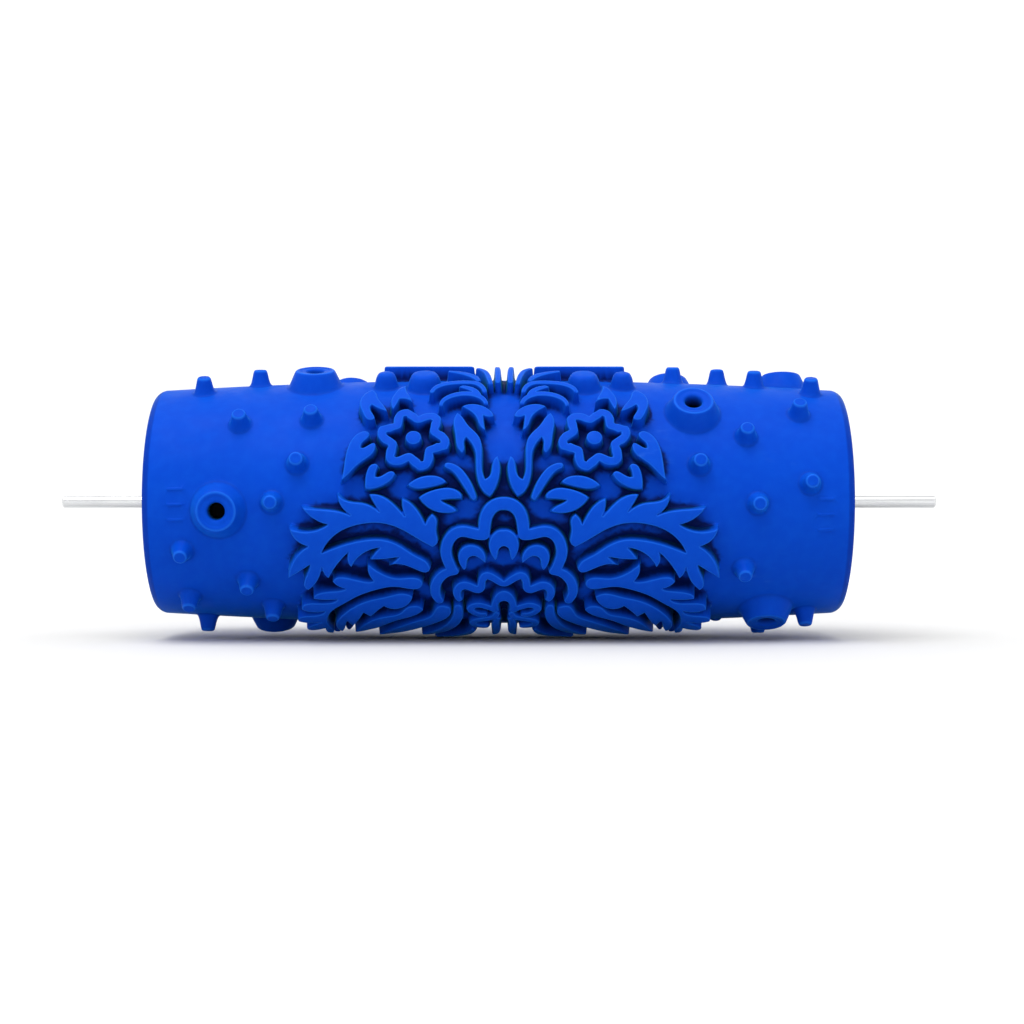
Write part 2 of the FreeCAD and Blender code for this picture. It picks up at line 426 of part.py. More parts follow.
OUTLINES = {
    "omega": [
        [(0, -7.1), (-2.3, -7.8), (-3.7, -10.4), (-3.4, -13.0)],
        [(-2.1, -15.2), (-1.5, -13.8), (-1.2, -12.3), (0, -11.4)],
    ],
    "crescent": [
        [(-4.6, -16.0), (-5.9, -14.8), (-7.2, -14.1), (-8.5, -14.4), (-9.1, -15.6), (-9.3, -17.3)],
        [(-9.9, -18.0), (-10.9, -16.4), (-11.3, -13.8), (-10.4, -11.9), (-8.3, -11.0), (-6.1, -11.6),
         (-4.6, -13.6)],
    ],
    "collar": [
        [(0, -21.1), (-1.2, -20.0), (-2.7, -18.9), (-4.2, -18.4), (-5.5, -18.9), (-6.3, -20.4),
         (-6.7, -22.6)],
        [(-6.7, -22.6), (-8.1, -21.8), (-9.8, -21.3), (-11.4, -21.8), (-12.5, -23.3), (-12.8, -25.2),
         (-12.3, -27.2)],
        [(-12.3, -27.2), (-11.3, -28.2), (-10.2, -27.4)],
        [(-10.2, -27.4), (-10.7, -25.8), (-10.4, -24.3)],
        [(-9.9, -23.9), (-8.8, -24.3), (-7.5, -25.0), (-6.2, -25.2), (-5.1, -24.5), (-4.6, -22.9),
         (-4.4, -21.2)],
        [(-4.1, -20.8), (-3.1, -21.3), (-1.8, -22.3), (-0.8, -22.9), (0, -23.0)],
    ],
    "small arch": [
        [(0, -24.2), (-1.7, -25.1), (-2.8, -27.2), (-3.3, -29.6), (-3.2, -32.2)],
        [(-1.9, -32.4), (-1.4, -30.2), (-1.1, -28.7), (0, -27.9)],
    ],
    "fish tail": [
        [(-20.9, 0.9), (-19.2, 2.0), (-16.3, 3.0), (-13.4, 3.3), (-11.2, 2.5), (-10.3, 1.4)],
        [(-10.4, 0.6), (-12.8, 0.5), (-15.4, 0.2)],
        [(-15.4, 0.2), (-13.8, -0.8), (-12.1, -1.8)],
        [(-11.5, -2.6), (-13.4, -3.0), (-15.7, -2.9), (-17.9, -2.1)],
    ],
    "eye": [
        [(-23.7, 4.0), (-22.2, 5.2), (-20.2, 6.1), (-17.9, 6.4), (-15.7, 6.0)],
        [(-14.1, 4.7), (-15.7, 4.0), (-18.1, 3.4), (-20.4, 3.0), (-22.5, 3.3)],
    ],
    "long y": [
        [(-11.6, 24.0), (-10.4, 22.7), (-8.9, 20.1), (-6.9, 17.8), (-5.8, 15.9), (-5.4, 13.5),
         (-5.4, 10.6), (-5.3, 7.7), (-4.6, 5.5)],
        [(-4.6, 5.5), (-3.5, 6.4), (-2.9, 9.2), (-1.6, 11.4)],
        [(-1.6, 11.4), (-1.0, 9.6), (-1.2, 5.6), (-2.2, 2.8), (-3.4, 1.1)],
        [(-3.4, 1.1), (-5.3, 2.6), (-6.5, 5.4), (-6.9, 9.4), (-7.2, 12.8), (-8.1, 14.8), (-9.3, 16.4)],
        [(-9.3, 16.4), (-9.8, 15.1), (-9.7, 13.4), (-10.3, 12.1)],
        [(-10.3, 12.1), (-11.6, 13.9), (-12.1, 17.2), (-12.6, 20.6)],
    ],
    "seven": [
        [(-10.6, 26.1), (-9.1, 26.9), (-7.1, 27.0), (-5.0, 26.2), (-3.4, 24.8), (-2.5, 22.8)],
        [(-2.5, 22.8), (-3.8, 22.5), (-5.1, 23.0)],
        [(-5.1, 23.0), (-5.0, 21.2), (-4.6, 18.4)],
        [(-4.6, 18.4), (-6.0, 19.8), (-7.1, 22.8), (-8.6, 24.6)],
    ],
    "bud": [
        [(-24.8, 34.7), (-26.4, 33.4), (-27.5, 31.3), (-28.3, 28.8), (-28.3, 26.6)],
        [(-27.7, 25.0), (-26.9, 26.8), (-26.2, 28.9)],
        [(-26.2, 28.9), (-24.8, 28.9), (-22.9, 27.5)],
        [(-22.9, 27.5), (-23.9, 30.4), (-24.6, 32.4)],
    ],
    "leaf left": [
        [(-33.4, 32.6), (-32.3, 31.6), (-31.8, 29.6), (-30.5, 27.2), (-29.1, 24.3)],
        [(-29.1, 24.3), (-31.0, 25.2), (-33.1, 26.7)],
        [(-33.1, 26.7), (-33.4, 25.2), (-32.2, 22.4)],
        [(-32.2, 21.9), (-33.7, 21.6), (-35.4, 24.2), (-36.2, 27.1), (-35.7, 30.0)],
    ],
    "heart": [
        [(-40.0, 5.0), (-39.4, 8.6), (-39.0, 11.8), (-38.0, 15.2), (-36.2, 17.6), (-34.3, 18.3)],
        [(-33.3, 17.6), (-33.7, 16.2), (-34.8, 15.1), (-35.3, 13.6)],
        [(-35.3, 13.6), (-33.7, 14.2), (-32.1, 15.0)],
        [(-31.7, 13.8), (-32.4, 11.9), (-34.5, 10.2), (-36.8, 8.2), (-38.8, 6.0)],
    ],
    "small leaf": [
        [(-34.1, 3.0), (-34.1, 5.6), (-33.6, 7.8), (-32.6, 9.2), (-31.3, 9.3)],
        [(-30.9, 8.6), (-31.4, 7.4), (-31.6, 6.1)],
        [(-31.6, 6.1), (-29.6, 6.6), (-27.6, 7.5)],
        [(-26.7, 6.8), (-27.6, 5.3), (-29.7, 3.8), (-32.0, 3.0)],
    ],
    "crest": [
        [(-7.8, 50.6), (-12.0, 51.5), (-17.0, 52.0), (-23.0, 51.6), (-29.6, 49.8)],
        [(-29.6, 49.8), (-31.2, 51.0), (-30.8, 53.2)],
        [(-30.8, 53.2), (-29.4, 53.0), (-28.0, 54.0)],
        [(-28.0, 54.0), (-24.0, 55.8), (-18.0, 56.6), (-12.4, 55.4), (-8.8, 53.0)],
    ],
    # leaf sprays
    "spray top": [
        [(-17.6, -11.6), (-16.3, -10.4), (-16.6, -7.4), (-16.4, -5.0), (-17.6, -3.2)],
        [(-17.6, -3.2), (-18.5, -4.1), (-19.3, -5.7)],
        [(-19.3, -5.7), (-20.4, -3.5), (-22.4, -0.9), (-25.0, 0.7)],
        [(-25.0, 0.7), (-25.0, -1.4), (-24.3, -3.7)],
        [(-24.3, -3.7), (-26.6, -1.2), (-29.6, 1.1), (-33.1, 1.7)],
        [(-33.1, 1.7), (-32.1, -0.3), (-30.6, -2.6)],
        [(-30.6, -2.6), (-32.4, -1.3), (-34.6, -0.5), (-37.4, -0.2), (-40.9, 2.1)],
        [(-40.9, 2.1), (-40.2, -1.0), (-37.7, -3.5)],
        [(-37.7, -3.5), (-41.4, -2.4), (-45.8, -2.0), (-49.7, -1.5)],
        [(-49.7, -1.5), (-47.4, -4.0), (-43.4, -5.9)],
        [(-43.4, -5.9), (-47.6, -7.6), (-52.8, -6.8)],
        [(-52.8, -6.8), (-51.3, -9.8), (-48.4, -11.5)],
        [(-48.4, -11.5), (-51.4, -14.2), (-53.0, -17.4), (-53.6, -20.4)],
        [(-53.6, -20.4), (-50.8, -18.5), (-48.1, -16.6)],
        [(-48.1, -16.6), (-49.3, -20.0), (-49.6, -23.4)],
        [(-48.8, -24.2), (-46.9, -22.0), (-45.1, -17.2)],
        [(-45.1, -17.2), (-44.6, -19.2), (-43.6, -20.5)],
        [(-43.6, -20.5), (-41.8, -17.2), (-38.4, -13.1)],
        [(-38.4, -13.1), (-38.7, -15.2), (-37.8, -17.2)],
        [(-37.8, -17.2), (-35.4, -13.9), (-30.6, -11.8)],
        [(-30.6, -11.8), (-32.0, -13.3), (-33.1, -15.0)],
        [(-33.1, -15.0), (-29.6, -14.9), (-25.9, -14.3)],
        [(-25.9, -14.3), (-27.0, -15.4), (-28.4, -16.7)],
        [(-28.4, -16.7), (-24.7, -16.6), (-21.8, -17.9), (-19.2, -18.7)],
        [(-18.2, -17.6), (-18.9, -15.8), (-22.0, -13.7), (-25.6, -11.2), (-29.5, -9.7), (-33.8, -9.7),
         (-39.2, -10.9), (-44.9, -13.1)],
        [(-44.9, -13.1), (-43.2, -10.2), (-40.0, -7.5), (-35.6, -5.9), (-31.0, -5.5), (-26.6, -6.5),
         (-22.1, -9.0)],
    ],
    "spray low": [
        [(-20.2, -22.3), (-20.9, -20.6), (-23.3, -20.1), (-26.6, -20.3), (-29.9, -19.1),
         (-33.6, -16.1)],
        [(-33.6, -16.1), (-33.7, -18.6), (-32.5, -21.2)],
        [(-32.5, -21.2), (-37.0, -20.7), (-42.2, -20.6)],
        [(-42.6, -21.6), (-41.4, -22.9), (-39.6, -23.7)],
        [(-39.6, -23.7), (-43.6, -24.6), (-47.7, -26.6)],
        [(-47.7, -27.2), (-44.9, -27.6), (-41.8, -27.4)],
        [(-41.8, -27.4), (-45.0, -28.8), (-50.4, -29.4)],
        [(-51.0, -31.4), (-48.3, -32.6), (-45.3, -32.1)],
        [(-45.3, -32.1), (-48.0, -34.0), (-52.0, -35.0)],
        [(-52.4, -37.0), (-49.4, -38.0), (-46.6, -37.4)],
        [(-46.6, -37.4), (-49.2, -39.4), (-50.6, -42.0)],
        [(-49.6, -43.0), (-47.4, -42.4), (-45.4, -41.0)],
        [(-45.4, -41.0), (-45.9, -43.2), (-45.0, -45.2)],
        [(-44.0, -45.2), (-43.8, -42.6), (-44.6, -39.6), (-44.7, -35.2), (-43.2, -31.8), (-40.2, -29.1),
         (-36.4, -26.2), (-31.5, -24.0), (-26.6, -23.2), (-21.0, -23.5)],
    ],
    "spray inner": [
        [(-22.9, -26.3), (-23.6, -28.6), (-26.4, -31.0), (-30.2, -30.0)],
        [(-30.2, -30.0), (-31.6, -31.6), (-33.7, -34.6)],
        [(-33.7, -34.6), (-35.5, -32.8)],
        [(-35.5, -32.8), (-36.6, -35.6), (-38.6, -39.8)],
        [(-38.6, -39.8), (-39.9, -37.0)],
        [(-39.9, -37.0), (-40.6, -40.4), (-41.6, -43.6)],
        [(-42.8, -41.2), (-42.7, -37.2), (-40.9, -33.6), (-37.6, -30.0), (-33.8, -27.7), (-29.3, -26.3),
         (-25.2, -25.2)],
    ],
    "low leaf": [
        [(-20.3, -31.5), (-21.4, -30.0), (-24.3, -30.3), (-26.6, -33.2), (-29.7, -34.4), (-33.4, -36.2),
         (-37.0, -41.0), (-38.4, -44.6)],
        [(-38.4, -44.6), (-34.8, -42.6), (-31.0, -39.6), (-27.0, -36.4), (-22.6, -34.0)],
    ],
    "stem blade": [
        [(-13.6, -30.4), (-16.6, -30.0), (-18.7, -34.2), (-21.9, -36.6), (-27.0, -40.4), (-30.6, -44.2),
         (-32.4, -47.4)],
        [(-32.4, -47.4), (-28.0, -45.6), (-22.6, -42.0), (-16.8, -37.4), (-13.8, -34.2)],
    ],
}

# flower ring: centre, mean radius, lobe rise, lobes, lobe direction, stroke width, eye radius
FLOWER = ((-22.4, 16.4), 6.7, 1.3, 6, -10, 2.3, 2.0)


def smooth_edge(points):
    """Straight edge through two points, spline through more."""
    if len(points) == 2:
        return Part.makeLine(points[0], points[1])
    curve = Part.BSplineCurve()
    curve.interpolate(points)
    return curve.toShape()


def flat(point):
    """Point of the flattened pattern."""
    return Vector(point[0], point[1], 0)


def outline_face(runs):
    """Flat face inside runs of points that meet in corners."""
    edges = []
    for index, run in enumerate(runs):
        points = [flat(point) for point in run]
        start = flat(runs[(index + 1) % len(runs)][0])
        if (points[-1] - start).Length > 1e-6:
            if index == len(runs) - 1 and abs(points[-1].x) < 1e-6 and abs(start.x) < 1e-6:
                edges.append(smooth_edge(points))
                points = [points[-1]]
            points.append(start)
        edges.append(smooth_edge(points))
    return Part.Face(Part.Wire(edges))


def stroke_face(widths, line):
    """Flat face of a brush stroke with round ends; one that starts on the mirror line spans it."""
    points = [flat(point) for point in line]
    if line[0][0] == 0 and line[1][0] != 0:
        points = [Vector(-point.x, point.y, 0) for point in reversed(points[1:])] + points
        widths = (widths[2], widths[0], widths[2])
    curve = Part.BSplineCurve()
    curve.interpolate(points)
    first, last = curve.FirstParameter, curve.LastParameter
    sides = ([], [])
    steps = 2 * len(points)
    for index in range(steps + 1):
        share = index / steps
        here = curve.value(first + (last - first) * share)
        ahead = curve.tangent(first + (last - first) * share)[0]
        half = (widths[0] * (1 - share) * (1 - 2 * share) + widths[1] * 4 * share * (1 - share)
                + widths[2] * share * (2 * share - 1)) / 2
        aside = Vector(-ahead.y, ahead.x, 0) * half
        sides[0].append(here + aside)
        sides[1].append(here - aside)
        if index == 0:
            start_cap = here - ahead * half
        if index == steps:
            end_cap = here + ahead * half
    edges = [
        smooth_edge(sides[0]), Part.Arc(sides[0][-1], end_cap, sides[1][-1]).toShape(),
        smooth_edge(sides[1][::-1]), Part.Arc(sides[1][0], start_cap, sides[0][0]).toShape(),
    ]
    return Part.Face(Part.Wire(edges))


def flower_faces(centre, mean, rise, lobes, turn, width, eye):
    """Wavy flower ring, splined from lobe to lobe, and its round eye."""
    middle = flat(centre)
    rims = ([], [])
    steps = 6
    for lobe in range(lobes):
        points = ([], [])
        along = []
        for step in range(steps + 1):
            phase = 2 * math.pi * step / steps
            angle = math.radians(turn) + (2 * math.pi * lobe + phase) / lobes
            out = Vector(math.cos(angle), math.sin(angle), 0)
            onward = Vector(-math.sin(angle), math.cos(angle), 0)
            radius = mean + rise * math.cos(phase)
            normal = out * radius + onward * rise * lobes * math.sin(phase)
            normal.normalize()
            points[0].append(middle + out * radius + normal * width / 2)
            points[1].append(middle + out * radius - normal * width / 2)
            along.append(onward)
        for rim, stops in zip(rims, points):
            curve = Part.BSplineCurve()
            curve.interpolate(Points=stops, InitialTangent=along[0], FinalTangent=along[-1])
            rim.append(curve.toShape())
    outer, inner = (Part.Face(Part.Wire(rim)) for rim in rims)
    return [outer.cut(inner), Part.Face(Part.Wire([Part.Circle(middle, Vector(0, 0, 1), eye).toShape()]))]


def half_motifs():
    """Every motif of the left half, drawn flat."""
    faces = [stroke_face(widths, line) for widths, line in STROKES]
    faces += [outline_face(runs) for runs in OUTLINES.values()]
    faces += flower_faces(*FLOWER)
    return faces


def wrapped_edge(edge, surface):
    """Flat pattern edge laid on a cylinder; arc lengths are true at the relief tops."""
    curve = edge.Curve.toBSpline(edge.FirstParameter, edge.LastParameter)
    if curve.isPeriodic():
        curve.setNotPeriodic()
    poles = []
    for pole in curve.getPoles():
        angle = math.pi - pole.y / dim("relief_rad")
        poles.append(Base.Vector2d(angle, pole.x + dim("pattern_offset")))
    unrolled = Part.Geom2d.BSplineCurve2d()
    unrolled.buildFromPolesMultsKnots(poles, curve.getMultiplicities(), curve.getKnots(), False,
                                      curve.Degree, curve.getWeights())
    return unrolled.toShape(surface)


def wrapped_block(wire):
    """Solid with radial walls between the relief root and the relief tops inside one flat wire."""
    rims = []
    lids = []
    for radius in (dim("relief_rad"), dim("relief_root_rad")):
        surface = Part.Cylinder()
        surface.Axis = Vector(1, 0, 0)
        surface.Radius = radius
        rims.append([wrapped_edge(edge, surface) for edge in wire.OrderedEdges])
        lid = Part.Face(surface, Part.Wire(rims[-1]))
        lid.validate()
        lids.append(lid)
    walls = [Part.makeRuledSurface(upper, lower) for upper, lower in zip(*rims)]
    shell = Part.makeShell(lids + walls)
    shell.sewShape()
    block = Part.makeSolid(shell)
    block.fix(1e-5, 1e-5, 1e-3)
    return block


def wrapped_pad(face):
    """Relief pad over a flat face, less its openings."""
    pad = wrapped_block(face.OuterWire)
    for wire in face.Wires:
        if not wire.isSame(face.OuterWire):
            pad = pad.cut(wrapped_block(wire)).Solids[0]
    return pad


half = half_motifs()
if not all(face.isValid() for face in half):
    raise RuntimeError("a motif of the damask crosses itself")
mirrored = [face.mirror(Vector(0, 0, 0), Vector(1, 0, 0)) for face in half]
blocks = [face.extrude(Vector(0, 0, -1)) for face in half + mirrored]
merged = blocks[0].multiFuse(blocks[1:]).removeSplitter()
drawn = [face for face in merged.Faces if abs(face.BoundBox.ZMin) < 1e-6 and abs(face.BoundBox.ZMax) < 1e-6]
pads = [wrapped_pad(face) for face in drawn]
# The far repeat is the near one mirrored front to back, then turned this many degrees further round.
REPEAT_SHIFT = 5
back = []
for pad in pads:
    turned = pad.mirror(Vector(0, 0, 0), Vector(0, 1, 0))
    turned.rotate(Vector(0, 0, 0), Vector(1, 0, 0), -REPEAT_SHIFT)
    back.append(turned)
# The repeats have free outlines laid on a cylinder, which no sketch or primitive gives.
relief = doc.addObject("Part::Feature", "damask_relief")
relief.Label = "damask_relief"
relief.Shape = Part.makeCompound(pads + back)

# ---------------------------------------------------------------- sleeve in one piece
doc.recompute()
studded = doc.addObject("Part::MultiFuse", "sleeve_studded")
studded.Shapes = [blank] + studs
hole_tool = doc.addObject("Part::MultiFuse", "cup_holes")
hole_tool.Shapes = holes
drilled = doc.addObject("Part::Cut", "sleeve_drilled")
drilled.Base = studded
drilled.Tool = hole_tool
sleeve = doc.addObject("Part::Fuse", "pattern_sleeve")
sleeve.Label = "pattern_sleeve"
sleeve.Base = drilled
sleeve.Tool = relief
pieces.append(sleeve)
doc.recompute()

# ---------------------------------------------------------------- checks and files
for item in doc.Objects:
    if "Invalid" in item.State or "Error" in item.State:
        raise RuntimeError(f"{item.Label} did not compute")
os.makedirs("parts", exist_ok=True)
for piece in pieces:
    shape = piece.Shape
    if shape.isNull() or not shape.isValid() or len(shape.Solids) != 1:
        raise RuntimeError(f"{piece.Label} is not one valid solid")
    shape.exportStep(os.path.join("parts", f"{piece.Label}.step"))
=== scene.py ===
import bpy
import math
import numpy as np
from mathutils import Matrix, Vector
from mathutils.geometry import delaunay_2d_cdt
from mathutils.kdtree import KDTree


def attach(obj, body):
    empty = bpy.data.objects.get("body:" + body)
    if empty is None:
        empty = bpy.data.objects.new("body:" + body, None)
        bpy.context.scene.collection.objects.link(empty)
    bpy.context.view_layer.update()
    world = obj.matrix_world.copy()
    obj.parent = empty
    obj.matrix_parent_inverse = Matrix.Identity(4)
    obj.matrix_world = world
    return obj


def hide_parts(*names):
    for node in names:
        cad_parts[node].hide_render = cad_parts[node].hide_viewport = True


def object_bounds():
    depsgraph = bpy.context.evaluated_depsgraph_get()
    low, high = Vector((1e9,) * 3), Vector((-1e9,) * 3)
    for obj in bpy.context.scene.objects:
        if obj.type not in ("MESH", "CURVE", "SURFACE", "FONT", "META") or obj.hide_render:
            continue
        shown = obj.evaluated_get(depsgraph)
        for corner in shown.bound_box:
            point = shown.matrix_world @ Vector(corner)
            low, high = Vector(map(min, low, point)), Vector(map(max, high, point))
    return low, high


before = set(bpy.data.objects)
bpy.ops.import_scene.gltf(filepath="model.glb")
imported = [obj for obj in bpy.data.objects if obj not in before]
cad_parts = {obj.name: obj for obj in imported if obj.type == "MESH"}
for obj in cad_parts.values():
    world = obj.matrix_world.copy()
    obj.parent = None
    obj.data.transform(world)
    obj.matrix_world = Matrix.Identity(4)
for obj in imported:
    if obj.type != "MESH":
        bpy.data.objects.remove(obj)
cad_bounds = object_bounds()

# ------------------------------------------------------------------ sizes, in millimetres
MM = 0.001
END_X = 89.0                 # end faces of the sleeve
RIM_ROUND = 1.9              # soft edge at the end faces, along the axle
END_RAD, MID_RAD = 29.2, 31.9
BORE_RAD = 26.0
RELIEF_RAD = 35.6
CROWN_HALF = END_X - 0.8
CROWN_ARC = (CROWN_HALF ** 2 + (MID_RAD - END_RAD) ** 2) / (2 * (MID_RAD - END_RAD))

# Nubs, cups and berries as (x, degrees about the axle from the front, upwards).
NUBS = [
    (-76, 70), (-62.3, 82), (-65, 39.5), (-47, 41), (-50, 17.5), (-56.2, -0.5), (-79, -24.5), (-63, -40.5),
    (-78.5, -53.5), (-76, -82), (-57.5, -59),
    (45.5, 85), (57.5, 92), (66.5, 80), (80.5, 70), (76, 47.5), (62, 32), (50, 17), (77.6, 8.5),
    (64.5, -1), (61.5, -33), (68, -87), (79, -70),
    (-79, 104), (-68, 122), (-57, 133), (-80, 146), (-62, 158), (-77, 178), (-58, 190), (-67, 211),
    (-80, 231), (-61, 234), (59, 117), (64, 131), (82, 124), (60, 152), (78, 160), (66, 178), (60, 196),
    (80, 199), (60, 216), (79, 236), (58.5, 245),
]
CUPS = [
    (-47.5, 74), (-69.6, -4.3), (49, 46), (68.5, -64.5), (-40, 118), (45.5, 112), (75, 100),
    (-73, 160), (-60, 253), (72, 146), (71, 216),
]
BERRIES = [(-19.0, 67.6), (21.8, 67.6), (-19.0, 117.4), (21.8, 117.4)]
SMALL_BERRIES = [(-29.0, 69.5), (31.8, 69.5), (-29.0, 115.5), (31.8, 115.5)]
# Profiles of the studs: (radius in the drawing, true radius, height above the plain rubber).
NUB_RINGS = [
    (3.5, 3.5, -0.03), (3.05, 3.05, 0.05), (2.72, 2.72, 0.32), (2.45, 2.45, 0.9), (2.15, 2.15, 2.0),
    (1.9, 1.9, 3.2), (1.65, 1.72, 3.8), (1.4, 1.5, 4.1), (1.1, 1.2, 4.2), (0.8, 0.9, 4.2), (0.4, 0.5, 4.18),
]
CUP_RINGS = [
    (7.7, 7.7, -0.03), (7.15, 7.15, 0.1), (6.75, 6.75, 0.5), (6.3, 6.4, 1.2), (5.7, 5.85, 2.4),
    (5.2, 5.35, 3.5), (4.95, 5.1, 3.95), (4.65, 4.85, 4.16), (4.35, 4.55, 4.2), (4.0, 4.1, 4.2),
    (3.8, 3.9, 4.05), (3.4, 3.5, 4.0), (2.9, 3.0, 4.0), (2.5, 2.55, 3.9), (2.2, 2.25, 3.6),
    (1.85, 2.1, 2.2), (1.5, 2.05, 0.6), (1.1, 1.95, -0.8), (0.6, 1.3, -1.0),
]
BERRY_RINGS = [
    (5.2, 5.2, -0.03), (4.8, 4.8, 0.07), (4.45, 4.45, 0.45), (4.1, 4.15, 1.3), (3.75, 3.85, 2.3),
    (3.35, 3.45, 3.1), (2.95, 3.05, 3.55), (2.4, 2.5, 3.75), (1.8, 1.9, 3.82), (1.2, 1.3, 3.84),
    (0.6, 0.7, 3.85),
]
SMALL_BERRY_RINGS = [
    (3.8, 3.8, -0.03), (3.4, 3.4, 0.07), (3.1, 3.1, 0.45), (2.8, 2.85, 1.3), (2.5, 2.6, 2.3),
    (2.15, 2.25, 3.1), (1.85, 1.92, 3.55), (1.4, 1.45, 3.75), (0.8, 0.9, 3.84),
]
# Every family of studs: (places, profile, sides, reach kept clear of filling points).
STUDS = [
    (NUBS, NUB_RINGS, 24, 4.3), (CUPS, CUP_RINGS, 44, 8.6),
    (BERRIES, BERRY_RINGS, 36, 5.9), (SMALL_BERRIES, SMALL_BERRY_RINGS, 28, 4.5),
]
# Radius of the painted highlight ring round a stud's tip, in the order of the families above; 0 for the
# domed berries.
TIP_RADS = (1.55, 4.75, 0, 0)
TIP_HEIGHT = 3.5             # lowest height of that painted highlight
TIP_WIDTH = 0.28             # softness of that painted highlight
FOOT_SHADE = 0.2             # painted shade where a stud meets the rubber
FOOT_WIDTH = 0.55            # softness of that painted shade
FOOT_HEIGHT = 1.2            # height that it reaches up the stud
FOLLOW_HEIGHT = 1.5          # height over which a stud's section stops following the drum
PIT_RAD = 2.5                # reach of the painted shade inside a cup's hole
PIT_TOP = 3.7                # height at which it starts
PIT_FADE = 2.6               # depth over which it turns dark
# Relief section as (distance inside the outline, from tops or plain rubber, height from it).
RELIEF_LEVELS = [
    (0.5, "top", 0.0), (0.2, "top", -0.08), (0.02, "top", -0.38),
    (-0.24, "base", 0.75), (-0.42, "base", 0.22), (-0.85, "base", 0.0),
]
TOP_TOLERANCE = 0.02         # how far a point of a relief top may be from its radius
STUD_CLEAR = 5.0             # round tops within this of a cup or berry are not relief
LEAST_STEP = 0.02            # outline points nearer to each other than this are joined
MITRE_LIMIT = 0.3            # keeps the inner offset of a sharp corner short
KEEP_SHARE, KEEP_SLACK = 0.97, 0.012    # an offset point nearer to any outline than this is dropped
SPACING = 0.6                # along outlines
CORNER_TURN = math.radians(48)
FILL_ROWS = 112              # rows of filling points in one turn
FILL_COLUMNS = 87            # columns of them on each side of the middle, 1 mm apart
FILL_END_GAP = 0.6           # from the soft edges at both ends
TOP_GAP, RUBBER_GAP = 0.85, 1.3    # from the outlines, on relief tops and on the plain rubber
DENSE_GAP = 4.0              # within this of the relief no filling point is left out
REACH_MARGIN = 1.08
END_ROWS, SEAM_COLUMNS = 224, 88    # points round each end and along the seam
# Section of both ends past the crown, as (x, drop from the plain rubber) and then as (x, radius).
RIM_PROFILE = [(END_X - 1.6, -0.08), (END_X - 1.15, -0.25), (END_X - 0.65, -0.55),
               (END_X - 0.25, -0.9), (END_X - 0.06, -1.15), (END_X, -1.5)]
END_PROFILE = [(END_X, 27.2), (END_X, BORE_RAD + 0.4), (END_X - 0.3, BORE_RAD + 0.1),
               (END_X - 0.8, BORE_RAD)]
TICKS = [(-80.5, -1.0), (81.5, -4.0)]    # middle of three ticks near each end, in the drawing
TICK_GAP, TICK_REACH = 4.6, 3.2
TICK_HALF = 1.5              # half the length of a tick's straight part
TICK_RINGS = [(0.75, 0.0), (0.42, 0.26), (0.2, 0.3)]    # (radius of the ends, height)
COVER_HALF, COVER_STEP = 60.0, 0.5       # grid that holds how crowded the relief is
COVER_REACHES = (2.2, 1.4)   # windows that it is averaged over, one after the other
CHANNEL_SHADE_GAIN, CHANNEL_SHADE_START = 2.4, 0.34    # how the painted shade in a channel grows with the relief round it
TOP_HIGHLIGHT = 0.14              # depth and softness of the painted highlight line along relief tops
END_SHADE_FADE = 0.5               # length over which the painted shade at both ends begins
# Seam of the unrolled sleeve as (x, degrees), on plain rubber all the way.
SEAM = [(-90, 268), (-70, 268), (-28, 272.4), (28, 272.4), (58, 264.5), (90, 264)]


def crown(x):
    """Radius of the plain rubber at x."""
    return MID_RAD - CROWN_ARC + np.sqrt(CROWN_ARC ** 2 - np.minimum(np.abs(x), CROWN_HALF) ** 2)


def seam_s(x):
    """Upper end of the unrolled sleeve at x; the lower end is one turn below it."""
    return math.radians(float(np.interp(x, *zip(*SEAM)))) * RELIEF_RAD


TURN = 2 * math.pi * RELIEF_RAD


def stud_s(x, angle):
    """Place of a stud along the unrolled sleeve, within the turn that ends at the seam."""
    return seam_s(x) - (seam_s(x) - math.radians(angle) * RELIEF_RAD) % TURN


# ------------------------------------------------------------------ relief outlines from the CAD sleeve
def cad_triangles(node):
    """Welded corner positions in millimetres and corner triples of a CAD node."""
    mesh = node.data
    corners = np.empty(len(mesh.vertices) * 3, np.float32)
    mesh.vertices.foreach_get("co", corners)
    mesh.calc_loop_triangles()
    triples = np.empty(len(mesh.loop_triangles) * 3, np.int32)
    mesh.loop_triangles.foreach_get("vertices", triples)
    corners = corners.reshape(-1, 3).astype(float) / MM
    _, first, same = np.unique(np.round(corners, 3), axis=0, return_index=True, return_inverse=True)
    return corners[first], same.reshape(-1)[triples].reshape(-1, 3)


def unroll(points):
    """Drawing coordinates (x, s at the relief tops) of points near the sleeve's surface."""
    angle = np.arctan2(points[:, 2], -points[:, 1])
    s = angle * RELIEF_RAD
    start = np.array([seam_s(x) for x in points[:, 0]])
    return np.column_stack([points[:, 0], start - np.mod(start - s, TURN)])


def relief_loops(node):
    """Closed outlines of the relief tops, inside on the left."""
    corners, triples = cad_triangles(node)
    flat = unroll(corners)
    radius = np.hypot(corners[:, 1], corners[:, 2])
    on_top = (np.abs(radius - RELIEF_RAD) < TOP_TOLERANCE)[triples].all(axis=1)
    middle = flat[triples].mean(axis=1)
    for x, angle in CUPS + BERRIES + SMALL_BERRIES:
        on_top &= np.hypot(middle[:, 0] - x, middle[:, 1] - stud_s(x, angle)) > STUD_CLEAR
    ahead = {}
    edges = set()
    for a, b, c in triples[on_top]:
        edges |= {(a, b), (b, c), (c, a)}
    for a, b in edges:
        if (b, a) not in edges:
            ahead[a] = b
    loops = []
    while ahead:
        start, here = ahead.popitem()
        loop = [start]
        while here != start:
            loop.append(here)
            here = ahead.pop(here)
        loops.append(flat[loop])
    return sorted(loops, key=lambda loop: tuple(loop.min(axis=0)))


